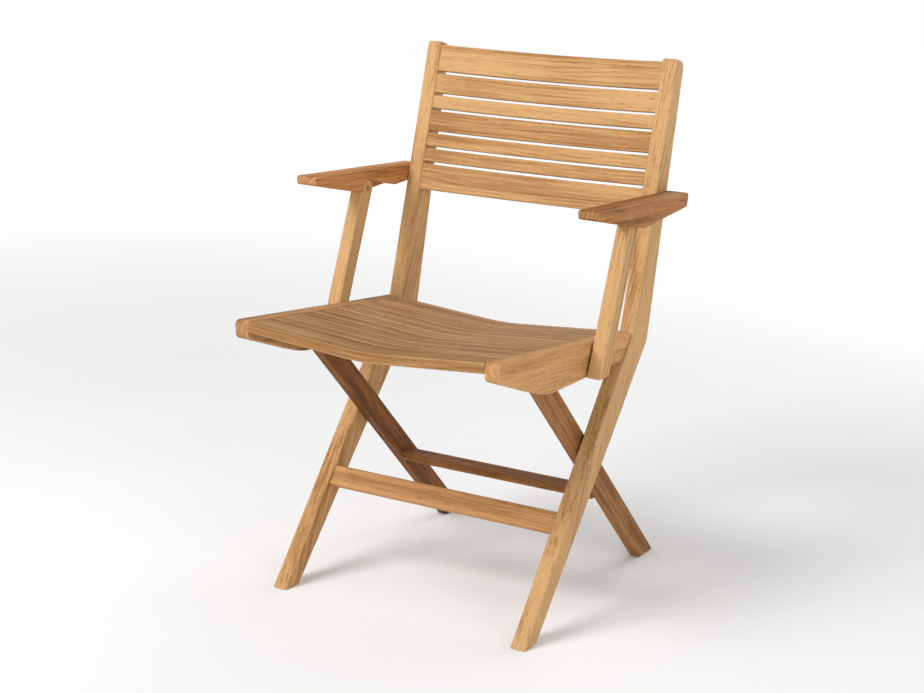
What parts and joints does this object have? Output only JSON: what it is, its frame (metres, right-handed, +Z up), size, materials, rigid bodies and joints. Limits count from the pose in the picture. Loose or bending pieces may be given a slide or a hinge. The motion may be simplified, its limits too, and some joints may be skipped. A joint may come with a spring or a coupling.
{
  "type": "folding armchair",
  "caption": "Slatted wooden folding armchair with bent back posts that cross straight rear legs, a dished seat, a bowed back and armrests on struts that fold with the seat.",
  "frame": {"origin": "middle of the open chair's footprint box, on the floor", "axes": "+Z up, the front of the seat faces -Y, +X across the chair towards the sitter's left hand"},
  "size_m": [0.5388, 0.6342, 0.856],
  "materials": {
    "teak": "sanded and lightly oiled teak",
    "teak_plug": "sanded teak end grain",
    "beech_dowel": "plain hardwood dowel",
    "steel": "plain stainless steel"
  },
  "bodies": {
    "back_frame": {"armrest_pivot_pins": "steel", "back_slat_1": "teak", "back_slat_2": "teak", "back_slat_3": "teak", "back_slat_4": "teak", "back_slat_5": "teak", "back_slat_6": "teak", "back_slat_7": "teak", "back_slat_dowels": "beech_dowel", "front_stretcher": "teak", "front_stretcher_dowels": "beech_dowel", "post_hinge_plate_left": "steel", "post_hinge_plate_right": "steel", "post_hinge_screws": "steel", "post_left": "teak", "post_right": "teak", "rear_leg_pivot_pins": "steel", "rear_leg_washers": "steel", "seat_hinge_rivets": "steel"},
    "rear_legs": {"rear_leg_left": "teak", "rear_leg_right": "teak", "rear_stretcher": "teak", "rear_stretcher_dowels": "beech_dowel"},
    "seat": {"rear_leg_rest_left": "teak", "rear_leg_rest_right": "teak", "rear_leg_rest_screws": "steel", "seat_hinge_plate_left": "steel", "seat_hinge_plate_right": "steel", "seat_hinge_screws": "steel", "seat_rail_left": "teak", "seat_rail_right": "teak", "seat_slat_1": "teak", "seat_slat_10": "teak", "seat_slat_11": "teak", "seat_slat_2": "teak", "seat_slat_3": "teak", "seat_slat_4": "teak", "seat_slat_5": "teak", "seat_slat_6": "teak", "seat_slat_7": "teak", "seat_slat_8": "teak", "seat_slat_9": "teak", "seat_slat_dowels": "beech_dowel", "strut_base_pins": "steel", "strut_base_washers": "steel"},
    "armrest_left": {"armrest_left": "teak", "strut_top_pin_left": "steel"},
    "strut_left": {"strut_left": "teak", "strut_plug_left": "teak_plug"},
    "armrest_right": {"armrest_right": "teak", "strut_top_pin_right": "steel"},
    "strut_right": {"strut_right": "teak", "strut_plug_right": "teak_plug"}
  },
  "joints": [
    {"name": "seat_fold", "type": "hinge", "parent": "back_frame", "child": "seat", "pos_m": [0, 0.1138, 0.4262], "axis": [-1, 0, 0], "range_deg": [0, 97]},
    {"name": "rear_leg_fold", "type": "hinge", "parent": "back_frame", "child": "rear_legs", "pos_m": [0, 0.0185, 0.256], "axis": [-1, 0, 0], "range_deg": [0, 65]},
    {"name": "armrest_left_fold", "type": "hinge", "parent": "back_frame", "child": "armrest_left", "pos_m": [0, 0.18618, 0.62828], "axis": [-1, 0, 0], "range_deg": [0, 97]},
    {"name": "strut_left_fold", "type": "hinge", "parent": "seat", "child": "strut_left", "pos_m": [0, -0.0198, 0.4197], "axis": [1, 0, 0], "range_deg": [0, 97]},
    {"name": "armrest_right_fold", "type": "hinge", "parent": "back_frame", "child": "armrest_right", "pos_m": [0, 0.18618, 0.62828], "axis": [-1, 0, 0], "range_deg": [0, 97]},
    {"name": "strut_right_fold", "type": "hinge", "parent": "seat", "child": "strut_right", "pos_m": [0, -0.0198, 0.4197], "axis": [1, 0, 0], "range_deg": [0, 97]}
  ],
  "couplings": [
    {"joint": "rear_leg_fold", "follows": "seat_fold", "ratio": 0.6701},
    {"joint": "armrest_left_fold", "follows": "seat_fold", "ratio": 1},
    {"joint": "strut_left_fold", "follows": "seat_fold", "ratio": 1},
    {"joint": "armrest_right_fold", "follows": "seat_fold", "ratio": 1},
    {"joint": "strut_right_fold", "follows": "seat_fold", "ratio": 1}
  ]
}
